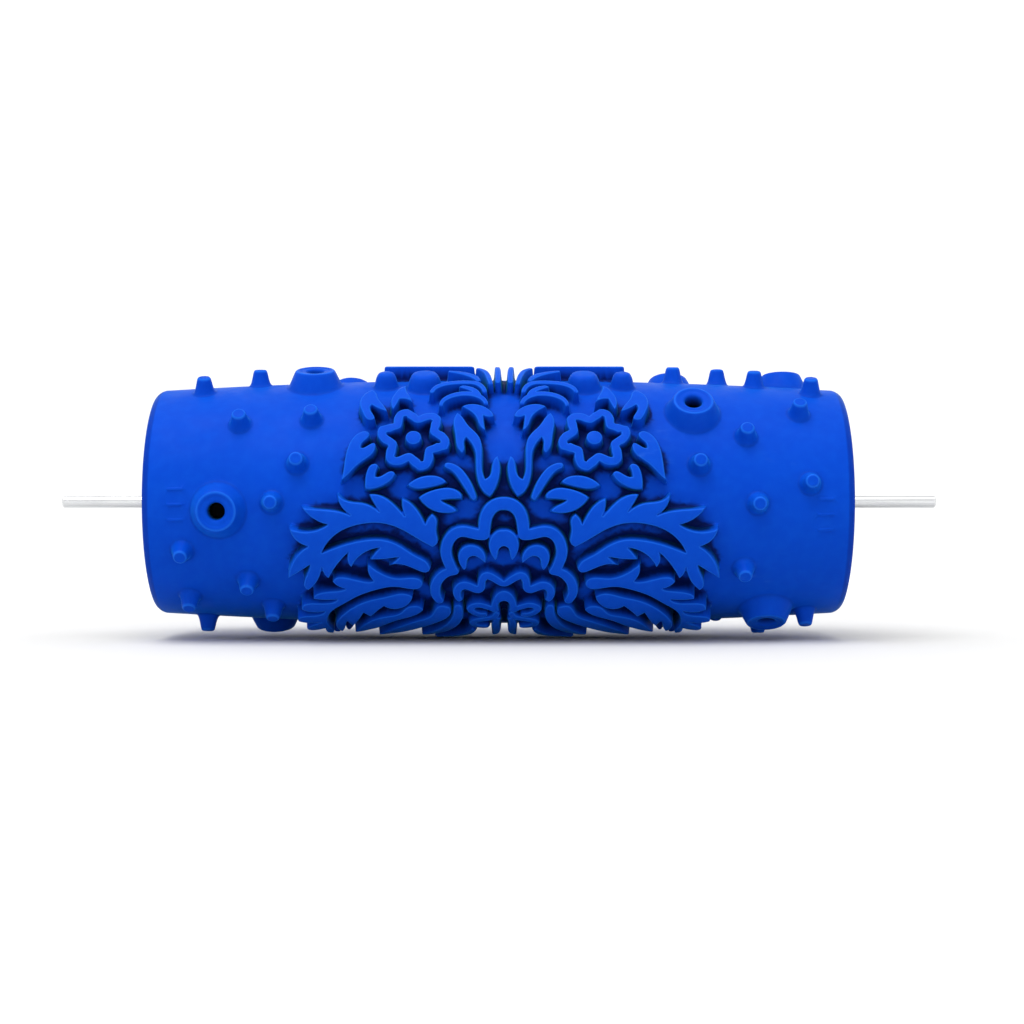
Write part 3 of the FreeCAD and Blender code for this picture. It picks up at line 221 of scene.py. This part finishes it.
def turn_at(before, here, after):
    """Signed turning angle of a polyline at a point."""
    a, b = here - before, after - here
    return math.atan2(a[0] * b[1] - a[1] * b[0], a[0] * b[0] + a[1] * b[1])


def smooth_run(run, before, after):
    """Closely spaced points on a smooth curve through the points of a run."""
    line = np.array([before] + run + [after])
    dense = []
    for k in range(1, len(line) - 2):
        p0, p1, p2, p3 = line[k - 1:k + 3]
        d0, d1, d2 = (math.sqrt(np.linalg.norm(b - a)) + 1e-9 for a, b in ((p0, p1), (p1, p2), (p2, p3)))
        m1 = ((p1 - p0) / d0 - (p2 - p0) / (d0 + d1) + (p2 - p1) / d1) * d1
        m2 = ((p2 - p1) / d1 - (p3 - p1) / (d1 + d2) + (p3 - p2) / d2) * d1
        for t in np.linspace(0, 1, 6, endpoint=False):
            dense.append((2 * t ** 3 - 3 * t ** 2 + 1) * p1 + (t ** 3 - 2 * t ** 2 + t) * m1
                         + (3 * t ** 2 - 2 * t ** 3) * p2 + (t ** 3 - t ** 2) * m2)
    return np.array(dense + [line[-2]])


def resample(loop, spacing):
    """Evenly spaced points on smooth curves through the loop's points, split at its corners."""
    loop = loop[[i for i in range(len(loop)) if np.linalg.norm(loop[i] - loop[i - 1]) > LEAST_STEP]]
    count = len(loop)
    turns = [turn_at(loop[i - 1], loop[i], loop[(i + 1) % count]) for i in range(count)]
    corners = [i for i in range(count) if abs(turns[i]) > CORNER_TURN]
    starts = corners or [0]
    points, sharp = [], []
    for index, start in enumerate(starts):
        stop = starts[(index + 1) % len(starts)]
        length = (stop - start) % count or count
        run = [loop[(start + k) % count] for k in range(length + 1)]
        if corners:
            dense = smooth_run(run, 2 * run[0] - run[1], 2 * run[-1] - run[-2])
        else:
            dense = smooth_run(run, loop[start - 1], loop[(stop + 1) % count])
        along = np.concatenate([[0], np.cumsum(np.linalg.norm(np.diff(dense, axis=0), axis=1))])
        steps = max(1, round(along[-1] / spacing))
        for step in range(steps):
            at = along[-1] * step / steps
            points.append([np.interp(at, along, dense[:, 0]), np.interp(at, along, dense[:, 1])])
            sharp.append(bool(corners) and step == 0)
    return np.array(points), sharp


def left_of(a, b):
    """Unit vector to the left of the way from a to b."""
    way = b - a
    return np.array([-way[1], way[0]]) / (np.linalg.norm(way) + 1e-12)


def offset_points(points, sharp, distance):
    """The outline moved inwards by distance, fanned round the outer side of corners."""
    moved = []
    count = len(points)
    for i in range(count):
        n0 = left_of(points[i - 1], points[i])
        n1 = left_of(points[i], points[(i + 1) % count])
        middle = n0 + n1
        middle /= np.linalg.norm(middle) + 1e-12
        turn = turn_at(points[i - 1], points[i], points[(i + 1) % count])
        if not sharp[i]:
            moved.append(points[i] + middle * distance)
        elif turn * distance < 0:
            moved += [points[i] + n0 * distance, points[i] + middle * distance, points[i] + n1 * distance]
        else:
            moved.append(points[i] + middle * distance / max(MITRE_LIMIT, float(middle @ n0)))
    return moved


# ------------------------------------------------------------------ drawing of the sleeve's surface
class Drawing:
    """Points of the unrolled sleeve with their places on the real one, and the edges to keep."""

    def __init__(self):
        self.flat = []
        self.place = []
        self.edges = []

    def add(self, x, s, place):
        """Point at (x, s), placed at a 3D point."""
        self.flat.append((x, s))
        self.place.append(place)
        return len(self.flat) - 1

    def add_on(self, x, s, radius):
        """Point at (x, s), placed on a radius."""
        angle = s / RELIEF_RAD
        return self.add(x, s, (x, -radius * math.cos(angle), radius * math.sin(angle)))


def add_relief(drawing, loops):
    """Relief section along every outline; returns a distance tree of the outlines, and the outlines."""
    outlines = [resample(loop, SPACING) for loop in loops]
    dense = []
    for points, _ in outlines:
        for a, b in zip(points, np.roll(points, -1, axis=0)):
            dense += [a * (1 - t) + b * t for t in (0, 0.2, 0.4, 0.6, 0.8)]
    tree = KDTree(len(dense))
    for index, point in enumerate(dense):
        tree.insert((point[0], point[1], 0), index)
    tree.balance()
    for points, sharp in outlines:
        for distance, origin, height in RELIEF_LEVELS:
            ring = []
            for point in offset_points(points, sharp, distance):
                _, _, gap = tree.find((point[0], point[1], 0))
                if gap < abs(distance) * KEEP_SHARE - KEEP_SLACK:
                    ring.append(None)
                    continue
                base = RELIEF_RAD if origin == "top" else float(crown(point[0]))
                ring.append(drawing.add_on(point[0], point[1], base + height))
            for a, b in zip(ring, ring[1:] + ring[:1]):
                if a is not None and b is not None:
                    drawing.edges.append((a, b))
    return tree, [points for points, _ in outlines]


def add_studs(drawing, studs, rings, sides):
    """Rings of every stud of one family."""
    for x0, angle in studs:
        base = float(crown(x0))
        s0 = stud_s(x0, angle)
        theta = s0 / RELIEF_RAD
        out = np.array([0, -math.cos(theta), math.sin(theta)])
        up = np.array([0, math.sin(theta), math.cos(theta)])
        for drawn, radius, height in rings:
            ring = []
            for k in range(sides):
                phi = 2 * math.pi * k / sides
                along, round_ = radius * math.cos(phi), radius * math.sin(phi)
                follow = max(0.0, 1 - height / FOLLOW_HEIGHT)
                drop = base - math.sqrt(base ** 2 - round_ ** 2)
                lift = height - drop * follow + (float(crown(x0 + along)) - base) * follow
                place = np.array([x0, 0, 0]) + out * (base + lift) + up * round_ + np.array([along, 0, 0])
                ring.append(drawing.add(x0 + drawn * math.cos(phi),
                                        s0 + drawn * math.sin(phi) * RELIEF_RAD / base, tuple(place)))
            drawing.edges += list(zip(ring, ring[1:] + ring[:1]))
        bottom = np.array([x0, 0, 0]) + out * (base + rings[-1][2])
        drawing.add(x0, s0, tuple(bottom))


def add_marks(drawing):
    """Three short moulded ticks near each end, in place of any marking; returns the places they fill."""
    spots = []
    for x0, s0 in TICKS:
        for k in range(3):
            s = s0 + (k - 1) * TICK_GAP
            spots.append((x0, s, TICK_REACH))
            for grow, lift in TICK_RINGS:
                ring = []
                for phi in np.linspace(0, 2 * math.pi, 16, endpoint=False):
                    along = grow * math.cos(phi) + math.copysign(TICK_HALF, math.cos(phi))
                    across = grow * 0.8 * math.sin(phi)
                    x = x0 + along
                    ring.append(drawing.add_on(x, s + across * 1.1, float(crown(x)) + lift))
                drawing.edges += list(zip(ring, ring[1:] + ring[:1]))
    return spots


def relief_crossings(loops, x):
    """Sorted places where a line round the sleeve at x crosses the outlines."""
    places = []
    for loop in loops:
        ahead = np.roll(loop, -1, axis=0)
        cut = np.flatnonzero((loop[:, 0] <= x) != (ahead[:, 0] <= x))
        share = (x - loop[cut, 0]) / (ahead[cut, 0] - loop[cut, 0])
        places += list(loop[cut, 1] + share * (ahead[cut, 1] - loop[cut, 1]))
    return np.sort(places)


def add_fill(drawing, tree, loops, marks):
    """Evenly spread points on the plain rubber and on the relief tops."""
    studs = list(marks)
    for spots, _, _, reach in STUDS:
        studs += [(x0, stud_s(x0, angle), reach * REACH_MARGIN) for x0, angle in spots]
    for column in range(-FILL_COLUMNS, FILL_COLUMNS + 1):
        x = float(column)
        if abs(x) > END_X - RIM_ROUND - FILL_END_GAP:
            continue
        crossings = relief_crossings(loops, x)
        for row in range(FILL_ROWS):
            s = seam_s(x) - TURN * (row + 0.25 + 0.5 * (column % 2)) / FILL_ROWS
            gap = tree.find((x, s, 0))[2]
            inside = np.searchsorted(crossings, s) % 2 == 1
            if inside and gap > TOP_GAP:
                drawing.add_on(x, s, RELIEF_RAD)
            elif not inside and gap > RUBBER_GAP and (gap < DENSE_GAP or (row + column // 2) % 2 == 0):
                if all((x - a) ** 2 + (s - b) ** 2 > r * r for a, b, r in studs):
                    drawing.add_on(x, s, float(crown(x)))


def sleeve_surface():
    """Vertices and faces of the whole sleeve, welded along the seam and closed at the ends, and the
    relief outlines."""
    drawing = Drawing()
    loops = relief_loops(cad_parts["pattern_sleeve"])
    edge_x = END_X - RIM_ROUND
    rows = END_ROWS
    ends = []
    for side in (-1, 1):
        x = side * edge_x
        ends.append([drawing.add_on(x, seam_s(x) - TURN * k / rows, float(crown(x)))
                     for k in range(rows + 1)])
        drawing.edges += list(zip(ends[-1], ends[-1][1:]))
    xs = np.linspace(-edge_x, edge_x, SEAM_COLUMNS + 1)
    seams = []
    for end, lap in ((0, 0), (-1, 1)):
        seams.append([ends[0][end]] + [drawing.add_on(x, seam_s(x) - TURN * lap, float(crown(x)))
                                       for x in xs[1:-1]] + [ends[1][end]])
        drawing.edges += list(zip(seams[-1], seams[-1][1:]))
    tree, outlines = add_relief(drawing, loops)
    for spots, rings, sides, _ in STUDS:
        add_studs(drawing, spots, rings, sides)
    add_fill(drawing, tree, outlines, add_marks(drawing))

    points = [Vector(point) for point in drawing.flat]
    flat, _, faces, origins, _, _ = delaunay_2d_cdt(points, drawing.edges, [], 1, 1e-5)
    place = np.array(drawing.place)
    known = np.array([o[0] if o else -1 for o in origins])
    verts = np.zeros((len(flat), 3))
    verts[known >= 0] = place[known[known >= 0]]
    near = KDTree(len(drawing.flat))
    for index, point in enumerate(drawing.flat):
        near.insert((point[0], point[1], 0), index)
    near.balance()
    for index in np.flatnonzero(known < 0):
        found = near.find_n((flat[index][0], flat[index][1], 0), 3)
        weights = np.array([1 / (gap + 1e-4) for _, _, gap in found])
        radii = np.array([math.hypot(*place[which][1:]) for _, which, _ in found])
        radius = float(radii @ weights / weights.sum())
        angle = flat[index][1] / RELIEF_RAD
        verts[index] = (flat[index][0], -radius * math.cos(angle), radius * math.sin(angle))
    new_of = {}
    for index, which in enumerate(origins):
        for old in which:
            new_of[old] = index
    weld = {new_of[b]: new_of[a] for a, b in zip(seams[0], seams[1])}
    faces = [tuple(weld.get(v, v) for v in face) for face in faces]
    faces = [face for face in faces if len(set(face)) == 3]

    verts = verts.tolist()
    sections = [(x, float(crown(edge_x)) + drop) for x, drop in RIM_PROFILE] + END_PROFILE
    last_rings = []
    for side, end in zip((-1, 1), ends):
        ring = [weld.get(new_of[v], new_of[v]) for v in end[:-1]]
        for x, radius in sections:
            fresh = []
            for k in range(rows):
                angle = (seam_s(side * edge_x) - TURN * k / rows) / RELIEF_RAD
                fresh.append(len(verts))
                verts.append([side * x, -radius * math.cos(angle), radius * math.sin(angle)])
            for k in range(rows):
                quad = (ring[k], ring[(k + 1) % rows], fresh[(k + 1) % rows], fresh[k])
                faces.append(quad if side > 0 else quad[::-1])
            ring = fresh
        last_rings.append(ring)
    left, right = last_rings
    shift = round((seam_s(edge_x) - seam_s(-edge_x)) / TURN * rows)
    for k in range(rows):
        a, b = left[k], left[(k + 1) % rows]
        c, d = right[(k + 1 + shift) % rows], right[(k + shift) % rows]
        faces.append((a, d, c, b))
    return verts, faces, outlines


def mesh_object(name, verts, faces):
    """Smooth-shaded object from vertices in millimetres."""
    mesh = bpy.data.meshes.new(name)
    mesh.from_pydata([(x * MM, y * MM, z * MM) for x, y, z in verts], [], faces)
    mesh.shade_smooth()
    obj = bpy.data.objects.new(name, mesh)
    bpy.context.scene.collection.objects.link(obj)
    return obj


def spread(grid, reach):
    """Grid averaged over a square window; the second direction wraps round."""
    for axis in (0, 1):
        grid = sum(np.roll(grid, shift, axis) for shift in range(-reach, reach + 1)) / (2 * reach + 1)
    return grid


def relief_cover(outlines):
    """Share of raised relief round every place of the unrolled sleeve, on a grid."""
    xs = np.arange(-COVER_HALF, COVER_HALF, COVER_STEP)
    places = np.arange(0.0, TURN, COVER_STEP)
    inside = np.zeros((len(xs), len(places)))
    for row, x in enumerate(xs):
        s = seam_s(x) - np.mod(seam_s(x) - places, TURN)
        inside[row] = np.searchsorted(relief_crossings(outlines, x), s) % 2
    for reach in COVER_REACHES:
        inside = spread(inside, int(reach / COVER_STEP))
    return inside


def paint_attributes(obj, outlines):
    """Vertex attributes of painted light: painted shade in narrow channels and round the feet of studs,
    painted highlights along relief tops and round stud tips, and painted shade in the cup holes and at the
    soft edges of both ends."""
    mesh = obj.data
    co = np.empty(len(mesh.vertices) * 3, np.float32)
    mesh.vertices.foreach_get("co", co)
    co = co.reshape(-1, 3).astype(float) / MM
    x = co[:, 0]
    radius = np.hypot(co[:, 1], co[:, 2])
    angle = np.arctan2(co[:, 2], -co[:, 1])
    base = crown(x)
    cover = relief_cover(outlines)
    row = np.clip(((x + COVER_HALF) / COVER_STEP).astype(int), 0, cover.shape[0] - 1)
    column = (np.mod(angle * RELIEF_RAD, TURN) / COVER_STEP).astype(int) % cover.shape[1]
    near = cover[row, column] * (np.abs(x) < COVER_HALF - 1)
    depth = np.clip((RELIEF_RAD - radius) / (RELIEF_RAD - base), 0, 1)
    # Painted shade: darker deep down in channels where the relief crowds round.
    painted_shade = depth * np.clip(near * CHANNEL_SHADE_GAIN - CHANNEL_SHADE_START, 0, 1)
    # Painted highlight: a pale line along the rounded tops of the relief.
    painted_highlight = np.exp(-((RELIEF_RAD - radius - TOP_HIGHLIGHT) / TOP_HIGHLIGHT) ** 2) * (near > 0.02)
    painted_pit_shade = np.zeros(len(co))
    for (places, rings, _, _), tip in zip(STUDS, TIP_RADS):
        foot = rings[1][1]
        for x0, spot in places:
            turn = math.radians(spot)
            out = np.array([0, -math.cos(turn), math.sin(turn)])
            away = co - np.array([x0, 0, 0])
            up = away @ out
            aside = np.linalg.norm(away - np.outer(up, out), axis=1)
            lift = up - float(crown(x0))
            # Painted shade round the foot of every stud.
            painted_shade = np.maximum(painted_shade, FOOT_SHADE * np.exp(-((aside - foot) / FOOT_WIDTH) ** 2)
                                * (np.abs(lift) < FOOT_HEIGHT))
            # Painted highlight ring round the tip of a nub or cup.
            if tip:
                painted_highlight = np.maximum(painted_highlight, np.exp(-((aside - tip) / TIP_WIDTH) ** 2) * (lift > TIP_HEIGHT))
            # Painted shade inside a cup's hole, darker with depth.
            if rings is CUP_RINGS:
                dark = np.clip((PIT_TOP - lift) / PIT_FADE, 0, 1)
                painted_pit_shade = np.maximum(painted_pit_shade, (aside < PIT_RAD) * (up > 0) * dark)
    # Painted shade at the soft edges of both ends.
    painted_end_shade = np.clip((np.abs(x) - (END_X - RIM_ROUND)) / END_SHADE_FADE, 0, 1)
    for name, values in (("painted_shade", painted_shade), ("painted_highlight", painted_highlight), ("painted_pit_shade", painted_pit_shade), ("painted_end_shade", painted_end_shade)):
        layer = mesh.attributes.new(name, "FLOAT", "POINT")
        layer.data.foreach_set("value", values.astype(np.float32))


# ------------------------------------------------------------------ materials
class Shade:
    """A material's node tree, with short calls for what the finishes share."""

    def __init__(self, name, colour, roughness, metallic=0.0, specular=0.5, **constants):
        self.material = bpy.data.materials.new(name)
        self.material.use_nodes = True
        self.tree = self.material.node_tree
        self.shader = self.tree.nodes["Principled BSDF"]
        self.set("Base Color", (*colour, 1.0))
        self.set("Roughness", roughness)
        self.set("Metallic", metallic)
        self.set("Specular IOR Level", specular)
        for socket, value in constants.items():
            self.set(socket.replace("_", " "), value)
        self.place = self.tree.nodes.new("ShaderNodeTexCoord").outputs["Object"]
        self.colour = None
        self.height = None

    def set(self, socket, value):
        """Constant on the shader's own socket."""
        self.shader.inputs[socket].default_value = value

    def link(self, output, target):
        """Joins an output to an input."""
        self.tree.links.new(output, target)

    def stretched(self, scale):
        """Object coordinates scaled along each axis."""
        node = self.tree.nodes.new("ShaderNodeMapping")
        node.inputs["Scale"].default_value = scale
        self.link(self.place, node.inputs["Vector"])
        return node.outputs["Vector"]

    def noise(self, scale, detail, stretch=None):
        """Noise from 0 to 1 with features about 1/scale metres wide."""
        node = self.tree.nodes.new("ShaderNodeTexNoise")
        node.inputs["Scale"].default_value = scale
        node.inputs["Detail"].default_value = detail
        self.link(self.stretched(stretch) if stretch else self.place, node.inputs["Vector"])
        return node.outputs["Fac"]

    def remap(self, value, low, high, to_low, to_high):
        """Value taken smoothly from one range to another and kept inside it."""
        node = self.tree.nodes.new("ShaderNodeMapRange")
        node.interpolation_type = "SMOOTHSTEP"
        sockets = ("From Min", "From Max", "To Min", "To Max")
        for socket, number in zip(sockets, (low, high, to_low, to_high)):
            node.inputs[socket].default_value = number
        self.link(value, node.inputs["Value"])
        return node.outputs["Result"]

    def product(self, first, second):
        """One value times another."""
        node = self.tree.nodes.new("ShaderNodeMath")
        node.operation = "MULTIPLY"
        self.link(first, node.inputs[0])
        self.link(second, node.inputs[1])
        return node.outputs[0]

    def tint(self, factor, colour):
        """Base colour moved towards another where factor is high."""
        node = self.tree.nodes.new("ShaderNodeMix")
        node.data_type = "RGBA"
        if self.colour is None:
            node.inputs[6].default_value = self.shader.inputs["Base Color"].default_value
        else:
            self.link(self.colour, node.inputs[6])
        node.inputs[7].default_value = (*colour, 1.0)
        self.link(factor, node.inputs[0])
        self.colour = node.outputs[2]
        self.link(self.colour, self.shader.inputs["Base Color"])

    def bump(self, height, distance, strength):
        """Adds a layer of bump, distance in metres."""
        node = self.tree.nodes.new("ShaderNodeBump")
        node.inputs["Strength"].default_value = strength
        node.inputs["Distance"].default_value = distance
        self.link(height, node.inputs["Height"])
        if self.height is not None:
            self.link(self.height, node.inputs["Normal"])
        self.height = node.outputs["Normal"]
        self.link(self.height, self.shader.inputs["Normal"])

    def attribute(self, name):
        """Value of a vertex attribute."""
        node = self.tree.nodes.new("ShaderNodeAttribute")
        node.attribute_name = name
        return node.outputs["Fac"]

    def rough(self, value):
        """Roughness from nodes."""
        self.link(value, self.shader.inputs["Roughness"])


def blue_rubber():
    """Satin moulded rubber with a slight bloom and scuffs, painted shade in channels, round stud feet, in
    cup holes and at both ends, and painted highlights along relief tops and stud tips.
    """
    shade = Shade("blue_rubber", (0.0006, 0.052, 0.48), 0.5, specular=0.03, Sheen_Weight=0.155,
                  Sheen_Roughness=0.4, Sheen_Tint=(0.04, 0.6, 0.82, 1.0))
    shade.tint(shade.remap(shade.noise(28, 3), 0.35, 0.7, 0.0, 0.35), (0.0005, 0.038, 0.40))
    shade.tint(shade.remap(shade.noise(420, 4), 0.35, 0.75, 0.0, 0.2), (0.003, 0.08, 0.56))
    # Painted highlight along relief tops and stud tips.
    shade.tint(shade.remap(shade.attribute("painted_highlight"), 0.2, 1.0, 0.0, 0.6), (0.012, 0.14, 0.68))
    # Painted shade in channels and round the feet of studs.
    shade.tint(shade.remap(shade.attribute("painted_shade"), 0.04, 0.55, 0.0, 0.93), (0.0005, 0.004, 0.06))
    # Painted shade at both ends of the sleeve.
    shade.tint(shade.remap(shade.attribute("painted_end_shade"), 0.0, 1.0, 0.0, 0.55), (0.0008, 0.012, 0.20))
    # Painted shade inside the cup holes.
    shade.tint(shade.attribute("painted_pit_shade"), (0.0005, 0.0005, 0.002))
    patches = shade.remap(shade.noise(36, 2), 0.6, 0.75, 0.0, 1.0)
    scratches = shade.remap(shade.noise(700, 5, (0.35, 1.0, 1.0)), 0.52, 0.72, 0.0, 0.25)
    shade.tint(shade.product(patches, scratches), (0.05, 0.17, 0.56))
    shade.rough(shade.remap(shade.noise(160, 4), 0.3, 0.7, 0.40, 0.56))
    shade.bump(shade.noise(1500, 4), 0.00003, 0.5)
    shade.bump(shade.noise(90, 2), 0.00025, 0.35)
    return shade.material


def moulded_plastic(name, colour, light, roughness, grain):
    """Moulded or extruded plastic with a fine spark-eroded grain."""
    shade = Shade(name, colour, roughness, specular=0.4)
    shade.tint(shade.remap(shade.noise(60, 3), 0.35, 0.7, 0.0, 0.5), light)
    shade.rough(shade.remap(shade.noise(grain / 4, 3), 0.3, 0.7, roughness - 0.08, roughness + 0.08))
    shade.bump(shade.noise(grain, 3), 0.00003, 0.5)
    return shade.material


def drawn_steel(name, colour, dark, roughness, along):
    """Bright metal with fine lines along its drawing direction."""
    shade = Shade(name, colour, roughness, metallic=1.0)
    lines = shade.noise(3000, 3, along)
    shade.tint(shade.remap(lines, 0.4, 0.75, 0.0, 0.5), dark)
    shade.tint(shade.remap(shade.noise(90, 4), 0.5, 0.8, 0.0, 0.35), dark)
    shade.rough(shade.remap(lines, 0.3, 0.7, roughness - 0.06, roughness + 0.1))
    shade.bump(lines, 0.000008, 0.5)
    return shade.material


def studio_floor():
    """Matte pale paper, with painted shade under the object that fades out before the wall."""
    shade = Shade("floor_paper", (0.92, 0.92, 0.92), 0.9, specular=0.1)
    shade.tint(shade.remap(shade.noise(12, 3), 0.3, 0.7, 0.0, 0.3), (0.90, 0.90, 0.90))
    # Painted shade on the floor under the object.
    shade.tint(shade.attribute("painted_floor_shade"), (0.64, 0.64, 0.64))
    shade.bump(shade.noise(900, 3), 0.00003, 0.3)
    return shade.material


def paint(node, material):
    """Puts a finish on a carried-over CAD node."""
    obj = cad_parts[node]
    for held in obj.material_slots:
        held.material = material
    if not obj.material_slots:
        obj.data.materials.append(material)


verts, faces, outlines = sleeve_surface()
sleeve = mesh_object("rubber_sleeve", verts, faces)
paint_attributes(sleeve, outlines)
normals = sleeve.modifiers.new("normals", "WEIGHTED_NORMAL")
normals.keep_sharp = True
sleeve.data.materials.append(blue_rubber())
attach(sleeve, "drum")
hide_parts("pattern_sleeve")

core_finish = moulded_plastic("core_plastic", (0.62, 0.63, 0.61), (0.70, 0.70, 0.68), 0.5, 1200)
plug_finish = moulded_plastic("plug_plastic", (0.016, 0.018, 0.022), (0.03, 0.032, 0.038), 0.48, 1600)
nylon = moulded_plastic("nylon", (0.78, 0.75, 0.66), (0.84, 0.82, 0.75), 0.38, 900)
rod_steel = drawn_steel("bright_steel", (0.70, 0.71, 0.72), (0.50, 0.51, 0.53), 0.24, (0.02, 1.0, 1.0))
spring_steel = drawn_steel("spring_steel", (0.36, 0.36, 0.37), (0.2, 0.2, 0.21), 0.34, (1.0, 0.05, 1.0))
paint("core_tube", core_finish)
for end in ("right", "left"):
    paint(f"end_plug_{end}", plug_finish)
    paint(f"bush_{end}", nylon)
    paint(f"thrust_washer_{end}", rod_steel)
    paint(f"retaining_clip_{end}", spring_steel)
paint("axle_rod", rod_steel)

# ------------------------------------------------------------------ studio, in metres
FLOOR_GAP = 0.0002           # between the lowest stud and the floor
FLOOR_Z = min(cad_bounds[0].z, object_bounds()[0].z) - FLOOR_GAP
COVE_SIDES = 96
COVE_RINGS = (0.0, 0.06, 0.12, 0.18, 0.24, 0.3, 0.36, 0.42, 0.5, 0.9)    # radii on the flat floor
COVE_FLAT, COVE_BEND, COVE_TOP = 0.9, 0.5, 1.1    # radii of the flat and of the bend, and the height
FLOOR_SHADE_END, FLOOR_SHADE_FADE = 0.42, 0.3    # where the painted shade under the object ends, and over what distance it fades
CAMERA_PLACE = (0.0034, -0.515, -0.0027)
CAMERA_LENS, CAMERA_SENSOR = 68.66, 36.0    # in millimetres


def studio_cove():
    """Round floor that curves up into a low wall all round."""
    profile = [(radius, 0.0) for radius in COVE_RINGS]
    for a in np.linspace(0.1, math.pi / 2, 14):
        profile.append((COVE_FLAT + COVE_BEND * math.sin(a), COVE_BEND - COVE_BEND * math.cos(a)))
    profile.append((COVE_FLAT + COVE_BEND, COVE_TOP))
    sides = COVE_SIDES
    verts = [(0.0, 0.0, FLOOR_Z / MM)]
    faces = []
    for radius, height in profile[1:]:
        for k in range(sides):
            a = 2 * math.pi * k / sides
            verts.append((radius * math.cos(a) / MM, radius * math.sin(a) / MM, (FLOOR_Z + height) / MM))
    for k in range(sides):
        faces.append((0, 1 + k, 1 + (k + 1) % sides))
    for ring in range(len(profile) - 2):
        low, high = 1 + ring * sides, 1 + (ring + 1) * sides
        for k in range(sides):
            n = (k + 1) % sides
            faces.append((low + k, high + k, high + n, low + n))
    cove = mesh_object("studio_cove", verts, faces)
    cove.data.materials.append(studio_floor())
    reach = np.array([math.hypot(x, y) * MM for x, y, _ in verts])
    # Painted shade under the object, fading outwards.
    layer = cove.data.attributes.new("painted_floor_shade", "FLOAT", "POINT")
    layer.data.foreach_set("value", np.clip((FLOOR_SHADE_END - reach) / FLOOR_SHADE_FADE, 0, 1).astype(np.float32))


def soft_light(name, place, size, energy):
    """Square area light aimed at the object."""
    light = bpy.data.lights.new(name, "AREA")
    light.size, light.energy = size, energy
    obj = bpy.data.objects.new(name, light)
    obj.location = place
    obj.rotation_euler = (-Vector(place)).to_track_quat("-Z", "Y").to_euler()
    bpy.context.scene.collection.objects.link(obj)


studio_cove()
soft_light("key", (-0.15, -0.35, 0.95), 0.8, 9.0)
world = bpy.data.worlds.new("studio")
world.use_nodes = True
world.node_tree.nodes["Background"].inputs["Color"].default_value = (1.0, 1.0, 1.0, 1.0)
world.node_tree.nodes["Background"].inputs["Strength"].default_value = 1.0
bpy.context.scene.world = world
bpy.context.scene.view_settings.view_transform = "Standard"

camera = bpy.data.objects.new("camera", bpy.data.cameras.new("camera"))
camera.data.lens, camera.data.sensor_width = CAMERA_LENS, CAMERA_SENSOR
camera.data.clip_start = 0.01
camera.location = CAMERA_PLACE
camera.rotation_euler = (math.pi / 2, 0, 0)
bpy.context.scene.collection.objects.link(camera)
bpy.context.scene.camera = camera
